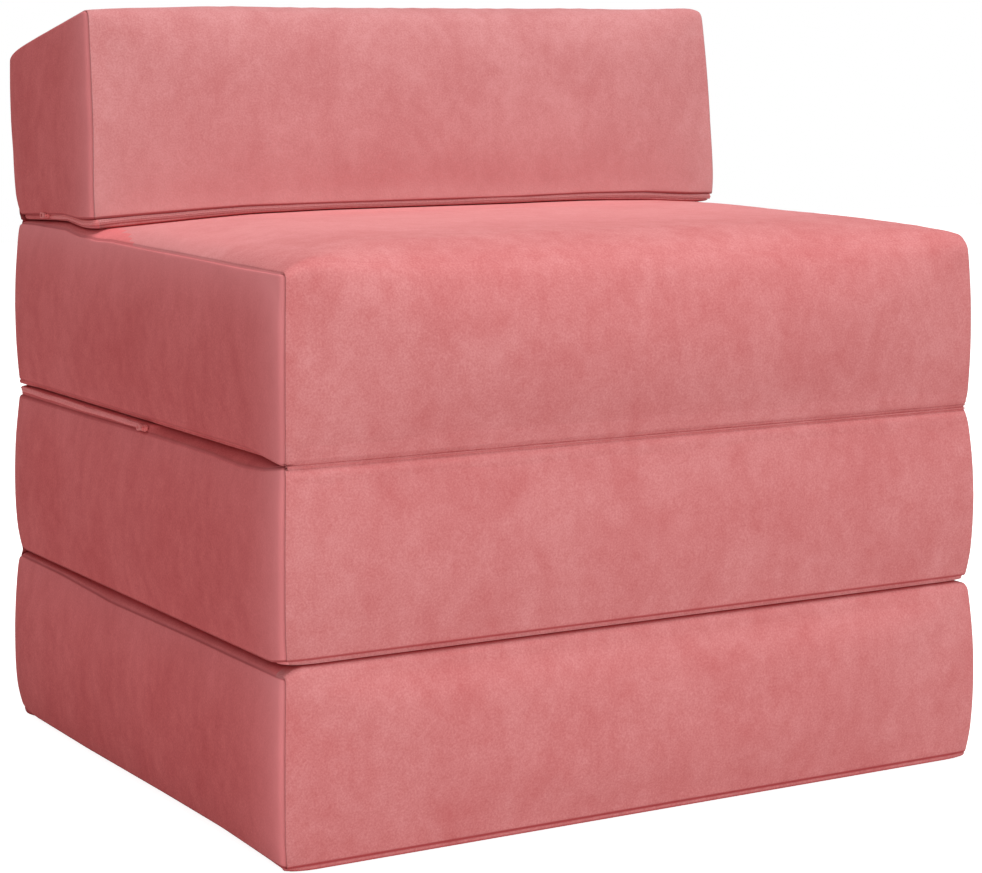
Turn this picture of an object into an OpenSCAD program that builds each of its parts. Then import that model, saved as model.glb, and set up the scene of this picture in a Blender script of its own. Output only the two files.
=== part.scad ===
// Folding sofa bed: three foam seat blocks and a wedge backrest in zipped velvet
// covers, joined by fabric hinges so that they fold in a Z and open into a bed.
// The origin is on the floor under the middle of the base block.
// +X is to the right of someone who looks at the front, +Y is to the rear.

/* [Seat blocks] */
// Width of the three seat blocks, seam to seam
body_w = 650; // [600:10:800]
// Depth of the three seat blocks, seam to seam
body_d = 555; // [480:5:650]
// Thickness of one seat block
block_t = 150; // [130:5:180]
// Rounding of the base's top front edge
base_edge_r = 14; // [8:1:24]
// Rounding of the seat's top front edge
seat_edge_r = 12; // [6:1:20]
// Rounding of the top rear edges
rear_edge_r = 4; // [3.5:0.5:8]
// Slit between two folded blocks
fold_gap = 0.6; // [0.4:0.1:2]

/* [Backrest] */
// Depth of the backrest's foot
back_foot_d = 184; // [140:2:240]
// Height of the backrest's front face
back_front_h = 183; // [140:1:240]
// Height of the backrest's rear face
back_rear_h = 147; // [110:1:200]
// Lean of the front face against the foot's normal, in degrees
back_front_lean = 3; // [0:0.5:6]
// Lean of the rear face against the foot's normal, in degrees
back_rear_lean = 7.5; // [0:0.5:9]
// Tilt of the whole backrest on the seat's crown, in degrees
back_tilt = 2.8; // [0.5:0.1:3.4]
// How far the foot stands out behind the seat's rear seam
back_overhang = 4; // [0:0.5:10]
// How far the backrest stops short of each side of the seat
back_inset = 2; // [0:1:30]
// Rounding of the backrest's top front edge
back_edge_r = 13; // [6:1:24]

/* [Crowns] */
// Bulge of a front face at mid height
crown_front = 5; // [1:0.5:8]
// Bulge of a rear face at mid height
crown_rear = 3; // [1:0.5:6]
// Crown of the seat's top
crown_seat = 8; // [2:0.5:14]
// Bulge of the backrest's sloping top
crown_back_top = 3; // [1:0.5:8]
// How far a side seam bows out between its corners
seam_bow = 3; // [0:0.5:5]
// Extra bulge of a side panel inside its seams
crown_side = 3; // [0:0.5:8]

/* [Cover] */
// Thickness of the velvet with its wadding
cover_t = 2; // [1.5:0.1:2.6]
// Height of the band that the bottom panel turns up
band_h = 5.5; // [5:0.1:8]
// How far the band sits inside the panels above it
band_tuck = 1.5; // [1:0.1:3]
// Bevel round the outer edge of a band
band_bevel = 1.2; // [0.4:0.1:1.6]
// Clearance between a foam core and its cover
foam_fit = 0.3; // [0.3:0.1:2]

/* [Zips] */
// Radius of the zip's coil
coil_r = 0.7; // [0.5:0.05:0.8]
// How far each zip reaches along a side, from the end wall it goes round
back_zip_run = 111; // [80:1:140]
// The same for the three seat blocks' zips
seat_zip_run = 295; // [200:5:340]
// Length of a zip slider
slider_l = 8; // [7:0.5:12]
// Height of the slider's outer plate
slider_h = 5; // [4.6:0.1:5.2]
// Thickness of a pull tab
pull_t = 0.9; // [0.7:0.1:1.1]
// Length of a pull tab, from its pin to its end
pull_l = 13; // [12:0.5:20]
// Width of a pull tab at its wide end
pull_w = 6; // [5.2:0.1:8]
// Clearance between the moving parts of a zip
zip_fit = 0.3; // [0.25:0.05:0.5]

/* [Hinges] */
// Thickness of a hinge fabric
hinge_t = 1.2; // [0.8:0.1:2]
// How far a hinge fabric reaches on each side of its fold
hinge_leg = 14; // [10:1:30]
// How far a hinge fabric stops short of each side
hinge_inset = 12; // [5:1:40]
// Room between two bulged faces when they are folded against each other
open_gap = 2; // [1:0.5:6]

/* [Hidden] */

velvet = "#D47E7F";
velvet_light = "#E29494";
tape_pink = "#DE8E8E";
zip_pink = "#D98788";
foam_cream = "#EFE6C8";

// Steps round one cushion: segments of a face, of a rounded edge and across the width
FACE_N = 6;
ARC_N = 3;
WIDE_N = 8;
RINGS = [1, 0.92, 0.76, 0.5, 0.22];
SMOOTH = 24;

// Heights at which the blocks start
middle_z = block_t + fold_gap;
seat_z = 2 * (block_t + fold_gap);
seat_top_z = seat_z + block_t;
back_w = body_w - 2 * back_inset;

// The rounded rectangle's corner and the tape's height inside a band
band_corner_r = 3;
tape_h = band_h - cover_t;

// A face bulges as a parabola between its two seams
function hump(s) = 4 * s * (1 - s);

// The outward normal of a step in the y-z plane, for an outline that runs up the front
function left_of(d) = [-d[1], d[0]] / norm(d);

// One outline point: place, outward normal, crown, and the share of it left at the side seams
function face_points(a, b, crown, share, n) = [
    for (i = [0:n])
        [a + (b - a) * i / n, left_of(b - a), crown * hump(i / n), share]
];
function arc_points(centre, r, a0, a1, n) = [
    for (i = [1:n - 1])
        let (a = a0 + (a1 - a0) * i / n)
        [centre + r * [cos(a), sin(a)], [cos(a), sin(a)], 0, 0]
];
function arc_centre(corner, n1, n2, r) = corner - r * (n1 + n2) / (1 + n1 * n2);

// A block's outline in the y-z plane, from the front seam over the top to the rear seam.
// form: [width, front bottom, front top, rear top, rear bottom, front r, rear r, crowns]
function outline(form) = let (
    n1 = left_of(form[2] - form[1]),
    n2 = left_of(form[3] - form[2]),
    n3 = left_of(form[4] - form[3]),
    c1 = arc_centre(form[2], n1, n2, form[5]),
    c2 = arc_centre(form[3], n2, n3, form[6]),
    crowns = form[7]
) concat(
    face_points(form[1], c1 + form[5] * n1, crowns[0], 1, FACE_N),
    arc_points(c1, form[5], atan2(n1[1], n1[0]), atan2(n2[1], n2[0]), ARC_N),
    face_points(c1 + form[5] * n2, c2 + form[6] * n2, crowns[1], 0.15, FACE_N),
    arc_points(c2, form[6], atan2(n2[1], n2[0]), atan2(n3[1], n3[0]), ARC_N),
    face_points(c2 + form[6] * n3, form[4], crowns[2], 1, FACE_N)
);
// Where the top face starts and ends in that outline, and the outline's last point
TOP_START = FACE_N + ARC_N;
TOP_END = TOP_START + FACE_N;
LAST = TOP_END + ARC_N + FACE_N;

// How far the side seam bows out at a height z of the form
function bow_at(form, z) = let (
    low = form[1][1],
    high = max(form[2][1], form[3][1])
) seam_bow * max(0, hump((z - low) / (high - low)));

// A point of the cover: outline point p, station across the width xi, depth under the surface
function cover_point(form, p, xi, depth) = let (
    lift = p[2] * (p[3] + (1 - p[3]) * (1 - pow(xi, 4))) - depth,
    yz = p[0] + p[1] * lift,
    half = form[0] / 2 + bow_at(form, p[0][1]) - cover_t
) [xi * half, yz[0], yz[1]];

// Triangles of a grid of rows and columns whose numbers start at first
function grid_faces(rows, cols, first, flip) = [
    for (r = [0:rows - 2], c = [0:cols - 2], half = [0, 1])
        let (
            a = first + r * cols + c,
            b = a + 1,
            d = a + cols,
            e = d + 1,
            t = half == 0 ? [a, b, e] : [a, e, d]
        )
        flip ? [t[2], t[1], t[0]] : t
];
// Triangles of the rim between two rows of numbers
function rim_faces(upper, lower) = [
    for (i = [0:len(upper) - 2], half = [0, 1])
        half == 0
            ? [upper[i], lower[i], lower[i + 1]]
            : [upper[i], lower[i + 1], upper[i + 1]]
];

// A panel of the cover that follows the outline from point k0 to point k1
module strip_panel(form, k0, k1) {
    points = outline(form);
    rows = k1 - k0 + 1;
    cols = WIDE_N + 1;
    count = rows * cols;
    grid = [for (depth = [0, cover_t], k = [k0:k1], i = [0:WIDE_N])
        cover_point(form, points[k], 2 * i / WIDE_N - 1, depth)];
    first_row = [for (i = [0:cols - 1]) i];
    last_row = [for (i = [0:cols - 1]) (rows - 1) * cols + i];
    first_col = [for (r = [0:rows - 1]) r * cols];
    last_col = [for (r = [0:rows - 1]) r * cols + cols - 1];
    polyhedron(grid, concat(
        grid_faces(rows, cols, 0, true),
        grid_faces(rows, cols, count, false),
        rim_faces([for (a = first_row) a + count], first_row),
        rim_faces(last_row, [for (a = last_row) a + count]),
        rim_faces(first_col, [for (a = first_col) a + count]),
        rim_faces([for (a = last_col) a + count], last_col)
    ));
}

// The closed loop of a side panel: the outline at the seams, then back along the foot
function side_loop(form) = let (
    points = outline(form),
    foot = [form[4], form[1]]
) concat(
    [for (p = points) p[0] + p[1] * p[2] * p[3]],
    [for (i = [1:FACE_N - 1]) foot[0] + (foot[1] - foot[0]) * i / FACE_N]
);

// A domed side panel; side is -1 on the left and 1 on the right
module side_panel(form, side) {
    loop = side_loop(form);
    n = len(loop);
    rings = len(RINGS);
    middle = (form[1] + form[2] + form[3] + form[4]) / 4;
    dome = form[0] / 2 + seam_bow + crown_side;
    half = n * rings;
    shell = [for (depth = [0, cover_t]) each concat(
        [for (r = RINGS, p = loop)
            let (
                yz = middle + (p - middle) * r,
                rim = form[0] / 2 + bow_at(form, p[1])
            )
            [side * (dome + (rim - dome) * r * r - depth), yz[0], yz[1]]],
        [[side * (dome - depth), middle[0], middle[1]]]
    )];
    function around(first, flip) = [
        for (k = [0:rings - 2], i = [0:n - 1], part = [0, 1])
            let (
                a = first + k * n + i,
                b = first + k * n + (i + 1) % n,
                t = part == 0 ? [a, b, b + n] : [a, b + n, a + n]
            )
            flip ? [t[2], t[1], t[0]] : t
    ];
    function fan(first, flip) = [
        for (i = [0:n - 1])
            let (
                a = first + (rings - 1) * n + i,
                b = first + (rings - 1) * n + (i + 1) % n,
                t = [a, b, first + half]
            )
            flip ? [t[2], t[1], t[0]] : t
    ];
    edge = [for (i = [0:n]) i % n];
    under = [for (i = edge) i + half + 1];
    left = side < 0;
    polyhedron(shell, concat(
        around(0, left), fan(0, left),
        around(half + 1, !left), fan(half + 1, !left),
        left ? rim_faces(under, edge) : rim_faces(edge, under)
    ));
}

// A foam core cut to the cover's outline, with flat ends. Under a band at its top it
// keeps the band's floor clear; foot is the block's front and rear end on its floor.
module foam_core(form, foot, under_band) {
    inset = band_tuck + cover_t + foam_fit;
    floor_z = cover_t + foam_fit;
    points = outline(form);
    hood = [for (k = [0:len(points) - 2]) points[k][0] - points[k][1] * inset];
    top = under_band ? [
        [foot[0] + inset, block_t - floor_z],
        [foot[1] - inset, block_t - floor_z]
    ] : hood;
    translate([-form[0] / 2 + inset, 0, 0])
        rotate([90, 0, 90])
        linear_extrude(form[0] - 2 * inset)
        polygon(concat(
            [[foot[0] + inset, floor_z]],
            top,
            under_band ? [] : [[foot[1] - inset, band_h + foam_fit]],
            [[foot[1] - inset, floor_z]]
        ));
}

// A prism that bevels one long edge of a band
module edge_cut(length) {
    rotate([90, 0, 90])
        linear_extrude(length + 2, center = true)
        polygon([[-1, -1], [band_bevel + 1, -1], [-1, band_bevel + 1]]);
}

// A rectangle with rounded corners, in plan
module plan(w, d) {
    r = band_corner_r;
    square([w - 2 * r, d], center = true);
    square([w, d - 2 * r], center = true);
    for (x = [-1, 1], y = [-1, 1])
        translate([x * (w / 2 - r), y * (d / 2 - r)])
            circle(r, $fn = SMOOTH);
}

// The stretch of a band that a zip takes, in plan: round the wall on side toward
module zip_stretch(w, d, toward, run) {
    translate([0, toward * (d / 2 + band_tuck - run / 2)])
        square([w + 2, run], center = true);
}

// A bottom or top panel with its edge turned up as a band, but for the zip's stretch
module tray(w, foot, toward, run) {
    wide = w - 2 * band_tuck;
    deep = foot[1] - foot[0] - 2 * band_tuck;
    translate([0, (foot[0] + foot[1]) / 2, 0])
        difference() {
            linear_extrude(band_h)
                plan(wide, deep);
            translate([0, 0, cover_t])
                linear_extrude(band_h)
                plan(wide - 2 * cover_t, deep - 2 * cover_t);
            if (run > 0)
                translate([0, 0, cover_t])
                    linear_extrude(band_h)
                    zip_stretch(w, deep, toward, run);
            for (a = [0, 180]) rotate([0, 0, a]) {
                translate([0, -deep / 2, 0]) edge_cut(wide);
                rotate([0, 0, 90]) translate([0, -wide / 2, 0]) edge_cut(deep);
            }
        }
}

// A closed zip in a band: its tape, and the coil on the tape's outer face
module zip_tape(w, foot, toward, run) {
    wide = w - 2 * band_tuck;
    deep = foot[1] - foot[0] - 2 * band_tuck;
    side = run - band_tuck - band_corner_r;
    translate([0, (foot[0] + foot[1]) / 2, cover_t]) {
        linear_extrude(tape_h)
            intersection() {
                difference() {
                    plan(wide, deep);
                    plan(wide - 2 * cover_t, deep - 2 * cover_t);
                }
                zip_stretch(w, deep, toward, run);
            }
        translate([0, 0, tape_h / 2]) {
            translate([0, toward * deep / 2, 0])
                rotate([0, 90, 0])
                cylinder(r = coil_r, h = wide - 2 * band_corner_r, center = true, $fn = SMOOTH);
            for (x = [-1, 1]) {
                translate([x * wide / 2, toward * (deep / 2 - band_corner_r - side / 2), 0])
                    rotate([90, 0, 0])
                    cylinder(r = coil_r, h = side, center = true, $fn = SMOOTH);
                translate([x * (wide / 2 - band_corner_r), toward * (deep / 2 - band_corner_r), 0])
                    scale([x, toward, 1])
                    rotate_extrude(angle = 90, $fn = SMOOTH)
                    translate([band_corner_r, 0])
                    circle(coil_r, $fn = SMOOTH);
            }
        }
    }
}

// Distances of the slider's layers from the tape's outer face, going outward
rail_h = coil_r + zip_fit;
neck_u = band_tuck + 0.6;
plate_u = neck_u + 1;
arch_w = 1.4;
arch_t = 0.8;
pin_r = 0.5;
pin_u = plate_u + zip_fit + pin_r;
arch_u = pin_u + pin_r + zip_fit + arch_t;
arch_l = 5;
arm_w = 0.9;

// Moves its child from a slider's own place to the zip: outward, along the zip, up
module on_zip(w, side, y, z) {
    translate([side * (w / 2 - band_tuck), y, z])
        scale([side, 1, 1])
        children();
}

// A slider's body: the neck grips the coil, and the arch on the plate holds the pull
module slider() {
    neck_h = tape_h - 2 * zip_fit;
    difference() {
        translate([zip_fit, -slider_l / 2, -neck_h / 2])
            cube([neck_u - zip_fit, slider_l, neck_h]);
        translate([0, -slider_l, -rail_h])
            cube([rail_h, 2 * slider_l, 2 * rail_h]);
    }
    translate([neck_u, -slider_l / 2 + slider_h / 4, -slider_h / 2])
        cube([plate_u - neck_u, slider_l - slider_h / 2, slider_h]);
    translate([neck_u, -slider_l / 2, -slider_h / 4])
        cube([plate_u - neck_u, slider_l, slider_h / 2]);
    for (y = [-1, 1], z = [-1, 1])
        translate([neck_u, y * (slider_l / 2 - slider_h / 4), z * slider_h / 4])
            rotate([0, 90, 0])
            cylinder(r = slider_h / 4, h = plate_u - neck_u, $fn = SMOOTH);
    difference() {
        translate([plate_u, -arch_l / 2, -arch_w / 2])
            cube([arch_u - plate_u, arch_l, arch_w]);
        translate([plate_u, -arch_l / 2 + arch_t, -arch_w])
            cube([arch_u - arch_t - plate_u, arch_l - 2 * arch_t, 2 * arch_w]);
    }
}

// A pull tab: a pin under the arch, two arms past it, and a plate with a slot and a hole
module pull() {
    arm_z = arch_w / 2 + zip_fit;
    plate_y = norm([arch_l / 2, arch_u - pin_u]) + zip_fit;
    neck_r = arm_z + arm_w;
    end_r = pull_w / 2;
    slot_r = 1.4;
    hole_r = 0.7;
    slot_y = [pull_l - end_r - 1.6, pull_l - end_r];
    translate([pin_u, 0, 0]) {
        cylinder(r = pin_r, h = 2 * neck_r, center = true, $fn = SMOOTH);
        for (z = [-1, 1])
            translate([-pull_t / 2, 0, z * (arm_z + arm_w / 2) - arm_w / 2])
                cube([pull_t, plate_y + 1, arm_w]);
        rotate([90, 0, 90])
            linear_extrude(pull_t, center = true)
            difference() {
                union() {
                    polygon([
                        [plate_y, -neck_r], [slot_y[0], -end_r], [slot_y[1], -end_r],
                        [slot_y[1], end_r], [slot_y[0], end_r], [plate_y, neck_r]
                    ]);
                    translate([slot_y[1], 0])
                        circle(end_r, $fn = SMOOTH);
                }
                for (y = slot_y)
                    translate([y, 0])
                        circle(slot_r, $fn = SMOOTH);
                translate([slot_y[0], -slot_r])
                    square([slot_y[1] - slot_y[0], 2 * slot_r]);
                translate([plate_y + hole_r + 0.8, 0])
                    circle(hole_r, $fn = SMOOTH);
            }
    }
}

// The block forms: width, four corners, two roundings, and the crowns of front, top, rear
function block_form(top_z, front_r, rear_r, top_crown) = [
    body_w,
    [-body_d / 2, band_h], [-body_d / 2, top_z], [body_d / 2, top_z], [body_d / 2, band_h],
    front_r, rear_r, [crown_front, top_crown, crown_rear]
];
block_foot = [-body_d / 2, body_d / 2];
middle_edge_r = cover_t + 1;
base_form = block_form(block_t, base_edge_r, rear_edge_r, 0);
middle_form = block_form(block_t - band_h, middle_edge_r, middle_edge_r, 0);
seat_form = block_form(block_t, seat_edge_r, rear_edge_r, crown_seat);

back_foot = [-back_foot_d, 0];
// The leaning front panel starts this high, so that its inner edge clears the band
back_front_low = band_h + cover_t * sin(back_front_lean);
back_form = [
    back_w,
    [back_front_low * tan(back_front_lean) - back_foot_d, back_front_low],
    [back_front_h * sin(back_front_lean) - back_foot_d, back_front_h * cos(back_front_lean)],
    [back_rear_h * sin(back_rear_lean), back_rear_h * cos(back_rear_lean)],
    [band_h * tan(back_rear_lean), band_h],
    back_edge_r, rear_edge_r,
    [crown_front, crown_back_top, crown_rear]
];

// The foot touches the seat's crown where the crown is as steep as the foot. The share
// runs from 0 at the seat's front rounding to 1 at its rear rounding.
crown_l = body_d - seat_edge_r - rear_edge_r;
foot_front = (body_d + back_overhang - back_foot_d - seat_edge_r) / crown_l;
foot_touch = min(1, max(foot_front, (1 + crown_l * tan(back_tilt) / (4 * crown_seat)) / 2));
foot_rise = crown_seat * hump(foot_touch) + fold_gap
    - (body_d + back_overhang - seat_edge_r - foot_touch * crown_l) * tan(back_tilt);

// Fold lines in the y-z plane: each lies outside the faces that it folds together
lower_fold = [body_d / 2 + crown_rear + open_gap / 2, block_t + fold_gap / 2];
front_fold = [-body_d / 2 - crown_front - open_gap / 2, seat_z - fold_gap / 2];
back_fold = [body_d / 2 + back_overhang + open_gap, seat_top_z + foot_rise / 2];
// The console shows them for whoever sets up the joints
echo(lower_fold = lower_fold, front_fold = front_fold, back_fold = back_fold);

// Places of the four blocks
module in_middle() {
    translate([0, 0, middle_z]) children();
}
module in_seat() {
    translate([0, 0, seat_z]) children();
}
module in_back() {
    translate([0, body_d / 2 + back_overhang, seat_top_z + foot_rise])
        rotate([-back_tilt, 0, 0])
        children();
}
// Turns a band and its zip over, for the top of the middle block
module at_top() {
    translate([0, 0, block_t])
        scale([1, 1, -1])
        children();
}

zip_z = cover_t + tape_h / 2;
seat_slider_y = body_d / 2 - seat_zip_run;
back_slider_y = back_zip_run - back_foot_d;

// A hinge fabric is a bent strip; its points run along its inner face, from low to high
module hinge_fabric(inner, outward) {
    outer = [for (i = [len(inner) - 1:-1:0]) inner[i] + [outward * hinge_t, 0]];
    w = back_w - 2 * hinge_inset;
    translate([-w / 2, 0, 0])
        rotate([90, 0, 90])
        linear_extrude(w)
        polygon(concat(inner, outer));
}
// How far a face bulges at a height over or under the fold
function bulge_at_leg(crown, low, high) = crown * hump((hinge_leg - low) / (high - low));

module base_foam() color(foam_cream) foam_core(base_form, block_foot, false);
module base_left_panel() color(velvet) side_panel(base_form, -1);
module base_right_panel() color(velvet) side_panel(base_form, 1);
module base_wrap_panel() color(velvet_light) strip_panel(base_form, 0, TOP_END);
module base_rear_panel() color(velvet) strip_panel(base_form, TOP_END, LAST);
module base_bottom_panel() color(velvet) tray(body_w, block_foot, 1, seat_zip_run);
module base_zip_tape() color(tape_pink) zip_tape(body_w, block_foot, 1, seat_zip_run);
module base_zip_slider() color(zip_pink) on_zip(body_w, 1, seat_slider_y, zip_z) slider();
module base_zip_pull() color(zip_pink) on_zip(body_w, 1, seat_slider_y, zip_z) pull();

module middle_foam() color(foam_cream) in_middle() foam_core(middle_form, block_foot, true);
module middle_left_panel() color(velvet) in_middle() side_panel(middle_form, -1);
module middle_right_panel() color(velvet) in_middle() side_panel(middle_form, 1);
module middle_front_panel() color(velvet_light) in_middle() strip_panel(middle_form, 0, TOP_START);
module middle_rear_panel() color(velvet) in_middle() strip_panel(middle_form, TOP_END, LAST);
module middle_top_panel() color(velvet) in_middle() at_top() tray(body_w, block_foot, 1, seat_zip_run);
module middle_bottom_panel() color(velvet) in_middle() tray(body_w, block_foot, 1, 0);
module middle_zip_tape() color(tape_pink) in_middle() at_top()
    zip_tape(body_w, block_foot, 1, seat_zip_run);
module middle_zip_slider() color(zip_pink) in_middle() at_top()
    on_zip(body_w, -1, seat_slider_y, zip_z) slider();
module middle_zip_pull() color(zip_pink) in_middle() at_top()
    on_zip(body_w, -1, seat_slider_y, zip_z) pull();

module seat_foam() color(foam_cream) in_seat() foam_core(seat_form, block_foot, false);
module seat_left_panel() color(velvet) in_seat() side_panel(seat_form, -1);
module seat_right_panel() color(velvet) in_seat() side_panel(seat_form, 1);
module seat_wrap_panel() color(velvet_light) in_seat() strip_panel(seat_form, 0, TOP_END);
module seat_rear_panel() color(velvet) in_seat() strip_panel(seat_form, TOP_END, LAST);
module seat_bottom_panel() color(velvet) in_seat() tray(body_w, block_foot, 1, seat_zip_run);
module seat_zip_tape() color(tape_pink) in_seat() zip_tape(body_w, block_foot, 1, seat_zip_run);
module seat_zip_slider() color(zip_pink) in_seat() on_zip(body_w, 1, seat_slider_y, zip_z) slider();
module seat_zip_pull() color(zip_pink) in_seat() on_zip(body_w, 1, seat_slider_y, zip_z) pull();

module back_foam() color(foam_cream) in_back() foam_core(back_form, back_foot, false);
module back_left_panel() color(velvet) in_back() side_panel(back_form, -1);
module back_right_panel() color(velvet) in_back() side_panel(back_form, 1);
module back_wrap_panel() color(velvet_light) in_back() strip_panel(back_form, 0, TOP_END);
module back_rear_panel() color(velvet) in_back() strip_panel(back_form, TOP_END, LAST);
module back_bottom_panel() color(velvet) in_back() tray(back_w, back_foot, -1, back_zip_run);
module back_zip_tape() color(tape_pink) in_back() zip_tape(back_w, back_foot, -1, back_zip_run);
module back_zip_slider() color(zip_pink) in_back() on_zip(back_w, -1, back_slider_y, zip_z) slider();
module back_zip_pull() color(zip_pink) in_back() on_zip(back_w, -1, back_slider_y, zip_z) pull();

module lower_hinge_fabric() color(velvet) {
    y = body_d / 2 + foam_fit;
    low = y + bulge_at_leg(crown_rear, rear_edge_r, block_t - band_h);
    high = y + bulge_at_leg(crown_rear, band_h, block_t - band_h);
    hinge_fabric([[low, block_t - hinge_leg], [y, block_t], [y, middle_z], [high, middle_z + hinge_leg]], 1);
}
module front_hinge_fabric() color(velvet_light) {
    y = body_d / 2 + foam_fit;
    low = y + bulge_at_leg(crown_front, band_h, block_t - band_h);
    high = y + bulge_at_leg(crown_front, band_h, block_t);
    hinge_fabric([[-low, seat_z - fold_gap - hinge_leg], [-y, seat_z - fold_gap], [-y, seat_z],
        [-high, seat_z + hinge_leg]], -1);
}
module back_hinge_fabric() color(velvet) {
    y = body_d / 2 + foam_fit;
    low = y + bulge_at_leg(crown_rear, rear_edge_r, block_t - band_h);
    foot_z = seat_top_z + foot_rise;
    foot_y = y + back_overhang;
    lean = back_rear_lean + back_tilt;
    high = foot_y + hinge_leg * tan(lean) + bulge_at_leg(crown_rear, band_h, back_rear_h);
    hinge_fabric([[low, seat_top_z - hinge_leg], [y, seat_top_z - back_overhang], [foot_y, foot_z],
        [high, foot_z + hinge_leg]], 1);
}

base_foam();
base_left_panel();
base_right_panel();
base_wrap_panel();
base_rear_panel();
base_bottom_panel();
base_zip_tape();
base_zip_slider();
base_zip_pull();
middle_foam();
middle_left_panel();
middle_right_panel();
middle_front_panel();
middle_rear_panel();
middle_top_panel();
middle_bottom_panel();
middle_zip_tape();
middle_zip_slider();
middle_zip_pull();
seat_foam();
seat_left_panel();
seat_right_panel();
seat_wrap_panel();
seat_rear_panel();
seat_bottom_panel();
seat_zip_tape();
seat_zip_slider();
seat_zip_pull();
back_foam();
back_left_panel();
back_right_panel();
back_wrap_panel();
back_rear_panel();
back_bottom_panel();
back_zip_tape();
back_zip_slider();
back_zip_pull();
lower_hinge_fabric();
front_hinge_fabric();
back_hinge_fabric();
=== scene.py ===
import math

import bmesh
import bpy
import numpy as np
from mathutils import Matrix, Vector, noise
from mathutils.kdtree import KDTree


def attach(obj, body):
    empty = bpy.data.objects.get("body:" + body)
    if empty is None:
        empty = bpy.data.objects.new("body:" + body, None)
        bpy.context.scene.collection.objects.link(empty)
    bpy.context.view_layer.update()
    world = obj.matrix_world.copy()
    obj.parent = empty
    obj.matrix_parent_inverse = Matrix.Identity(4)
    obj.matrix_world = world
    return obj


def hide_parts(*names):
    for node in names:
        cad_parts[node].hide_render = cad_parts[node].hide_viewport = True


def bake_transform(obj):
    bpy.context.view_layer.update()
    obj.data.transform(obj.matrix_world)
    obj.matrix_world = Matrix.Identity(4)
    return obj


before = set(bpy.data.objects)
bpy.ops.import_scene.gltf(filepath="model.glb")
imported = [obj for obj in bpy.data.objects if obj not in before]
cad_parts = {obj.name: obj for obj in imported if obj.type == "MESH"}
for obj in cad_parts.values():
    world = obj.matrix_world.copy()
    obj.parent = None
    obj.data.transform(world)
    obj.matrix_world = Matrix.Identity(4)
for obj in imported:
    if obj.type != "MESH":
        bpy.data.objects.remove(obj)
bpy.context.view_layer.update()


# A level camera whose lens is shifted down, fitted to the blocks' corners in the photograph
photoCamera = {
    "place": (-1.171, -2.023, 0.603),
    "turn": -30.34,      # degrees about the vertical
    "lens": 96.7,        # mm on a 36 mm sensor
    "shift": -0.3896,    # keeps upright edges upright, in picture widths
}
cameraData = bpy.data.cameras.new("photoCamera")
cameraData.lens = photoCamera["lens"]
cameraData.sensor_width = 36
cameraData.shift_y = photoCamera["shift"]
camera = bpy.data.objects.new("photoCamera", cameraData)
camera.location = photoCamera["place"]
camera.rotation_euler = (math.radians(90), 0, math.radians(photoCamera["turn"]))
bpy.context.scene.collection.objects.link(camera)
bpy.context.scene.camera = camera


def linear(code):
    values = [int(code[i:i + 2], 16) / 255 for i in (1, 3, 5)]
    return [v / 12.92 if v <= 0.04045 else ((v + 0.055) / 1.055) ** 2.4 for v in values] + [1]


def addNode(tree, kind, inputs=None, **settings):
    node = tree.nodes.new(kind)
    for name, value in settings.items():
        setattr(node, name, value)
    for socket, value in (inputs or {}).items():
        if isinstance(value, tuple) and isinstance(value[0], bpy.types.Node):
            tree.links.new(value[0].outputs[value[1]], node.inputs[socket])
        else:
            node.inputs[socket].default_value = value
    return node


def newMaterial(name):
    material = bpy.data.materials.new(name)
    material.use_nodes = True
    material.node_tree.nodes.clear()
    return material, material.node_tree


# Polyester velvet, knitted and brushed: a short pile that lies in patches, so that the
# colour drifts between a lighter and a deeper tone, with a fine grain and a soft sheen
velvetLook = {
    "light": "#D88B8B",
    "middle": "#CF7C7C",
    "deep": "#C66C6C",
    "seam": "#AE4447",
    "gapShade": "#B83034",      # painted shade: a deeper red where two covers face each other closely
    "fold": 0.012,         # metres from which the other cover tells
    "turned": "#F4A2A3",   # painted highlight, lighter where light falls along a side panel's front and top
    "patch": 0.060,        # metres across a patch of leaning pile
    "streak": 0.012,       # size of the small unevenness in it
    "grain": 0.0015,       # a tuft is about 0.3 mm, drawn coarser so that it shows
    "shares": (0.40, 0.45),    # of the streaks over the patches, and of the grain over both
    "tones": (0.36, 0.64),     # noise at which the deep and the light tone are reached
    "closed": (0.1, 0.66),     # openness at which the painted gap shade is full, and at which it ends
    "gapShadeShare": 0.9,
    "sheen": 0.06,
}


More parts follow.
